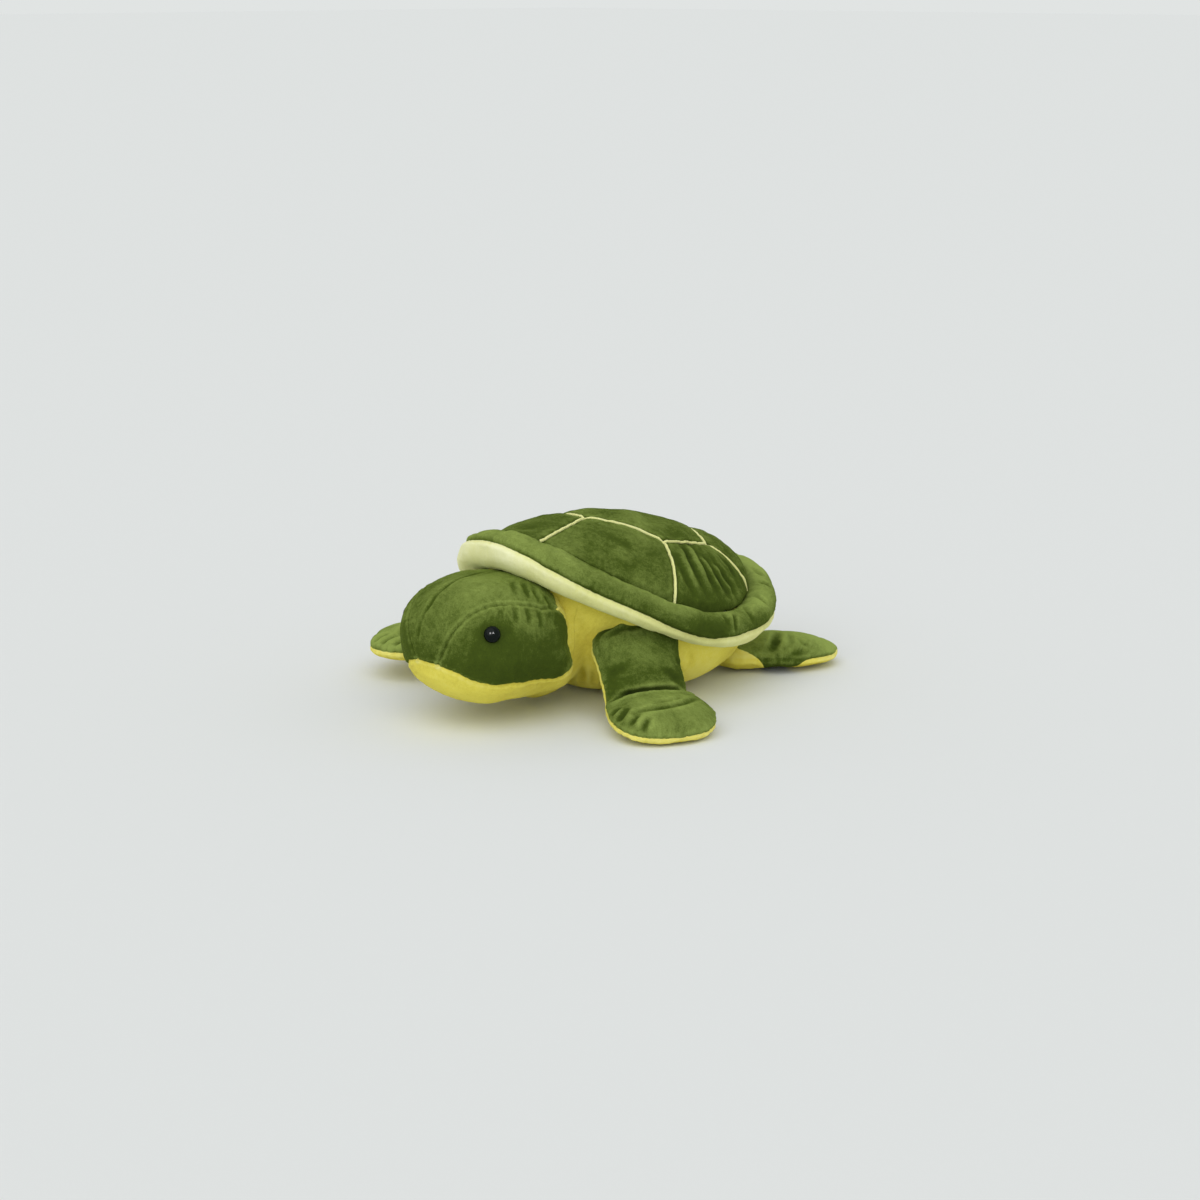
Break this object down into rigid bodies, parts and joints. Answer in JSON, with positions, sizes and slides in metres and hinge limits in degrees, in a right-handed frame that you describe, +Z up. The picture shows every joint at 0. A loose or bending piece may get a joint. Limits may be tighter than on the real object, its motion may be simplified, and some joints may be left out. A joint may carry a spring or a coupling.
{
  "type": "plush turtle",
  "caption": "Stuffed plush sea turtle with a puffed, piped shell, a padded rim, a gusseted head that nods and turns, folding front flippers and hinged rear flippers.",
  "frame": {"origin": "on the floor, at the middle of the flat patch under the belly", "axes": "+X to the turtle's left, +Y towards its tail along its length, +Z up"},
  "size_m": [0.4214, 0.4627, 0.1803],
  "materials": {
    "green_plush": "short olive-green plush with a pale sheen where the pile is brushed",
    "pale_plush": "short pale yellow-green plush",
    "yellow_plush": "short mustard-yellow plush",
    "fibre_fill": "white polyester fibre stuffing",
    "eye_black": "glossy near-black plastic",
    "washer_white": "plain white plastic"
  },
  "bodies": {
    "torso": {"shell_top_panel": "green_plush", "shell_side_left_front": "green_plush", "shell_side_left_rear": "green_plush", "shell_side_rear": "green_plush", "shell_side_right_rear": "green_plush", "shell_side_right_front": "green_plush", "shell_side_front": "green_plush", "piping_hexagon": "pale_plush", "piping_before_left_front": "pale_plush", "piping_before_left_rear": "pale_plush", "piping_before_rear": "pale_plush", "piping_before_right_rear": "pale_plush", "piping_before_right_front": "pale_plush", "piping_before_front": "pale_plush", "shell_stuffing": "fibre_fill", "rim_top_strip": "green_plush", "rim_underside_strip": "pale_plush", "rim_stuffing": "fibre_fill", "belly_panel": "yellow_plush", "body_side_left": "yellow_plush", "body_side_right": "yellow_plush", "body_stuffing": "fibre_fill"},
    "neck": {"neck_cover": "yellow_plush", "neck_stuffing": "fibre_fill"},
    "head": {"head_side_left": "green_plush", "head_side_right": "green_plush", "head_gusset": "green_plush", "nape_panel": "yellow_plush", "chin_panel": "yellow_plush", "head_stuffing": "fibre_fill", "eye_left": "eye_black", "eye_right": "eye_black", "eye_washer_left": "washer_white", "eye_washer_right": "washer_white"},
    "arm_left": {"arm_top_left": "green_plush", "arm_underside_left": "yellow_plush", "arm_stuffing_left": "fibre_fill"},
    "arm_right": {"arm_top_right": "green_plush", "arm_underside_right": "yellow_plush", "arm_stuffing_right": "fibre_fill"},
    "paw_left": {"paw_top_left": "green_plush", "paw_underside_left": "yellow_plush", "paw_stuffing_left": "fibre_fill"},
    "paw_right": {"paw_top_right": "green_plush", "paw_underside_right": "yellow_plush", "paw_stuffing_right": "fibre_fill"},
    "rear_left": {"rear_flipper_top_left": "green_plush", "rear_flipper_underside_left": "yellow_plush", "rear_flipper_stuffing_left": "fibre_fill"},
    "rear_right": {"rear_flipper_top_right": "green_plush", "rear_flipper_underside_right": "yellow_plush", "rear_flipper_stuffing_right": "fibre_fill"}
  },
  "joints": [
    {"name": "neck_turn", "type": "hinge", "parent": "torso", "child": "neck", "pos_m": [0, -0.121, 0.066], "axis": [0, 0, 1], "range_deg": [-12, 12], "stiffness_Nm_per_rad": 1.2},
    {"name": "head_nod", "type": "hinge", "parent": "neck", "child": "head", "pos_m": [0, -0.121, 0.066], "axis": [1, 0, 0], "range_deg": [0, 15], "stiffness_Nm_per_rad": 1.2},
    {"name": "shoulder_left", "type": "hinge", "parent": "torso", "child": "arm_left", "pos_m": [0.085, -0.0775, 0.067], "axis": [-0.3907, -0.9205, 0], "range_deg": [-6, 25], "stiffness_Nm_per_rad": 0.4},
    {"name": "shoulder_right", "type": "hinge", "parent": "torso", "child": "arm_right", "pos_m": [-0.085, -0.0775, 0.067], "axis": [-0.5, 0.866, 0], "range_deg": [-6, 25], "stiffness_Nm_per_rad": 0.4},
    {"name": "fold_left", "type": "hinge", "parent": "arm_left", "child": "paw_left", "pos_m": [0.1287, -0.09605, 0.02115], "axis": [-0.3907, -0.9205, 0], "range_deg": [-38, 4], "stiffness_Nm_per_rad": 0.2},
    {"name": "fold_right", "type": "hinge", "parent": "arm_right", "child": "paw_right", "pos_m": [-0.1345, -0.10608, 0.034], "axis": [-0.5, 0.866, 0], "range_deg": [-30, 12], "stiffness_Nm_per_rad": 0.2},
    {"name": "hip_left", "type": "hinge", "parent": "torso", "child": "rear_left", "pos_m": [0.053, 0.104, 0.0168], "axis": [0.8387, -0.5446, 0], "range_deg": [-5, 15], "stiffness_Nm_per_rad": 0.4},
    {"name": "hip_right", "type": "hinge", "parent": "torso", "child": "rear_right", "pos_m": [-0.053, 0.104, 0.0168], "axis": [0.8387, 0.5446, 0], "range_deg": [-5, 15], "stiffness_Nm_per_rad": 0.4}
  ]
}
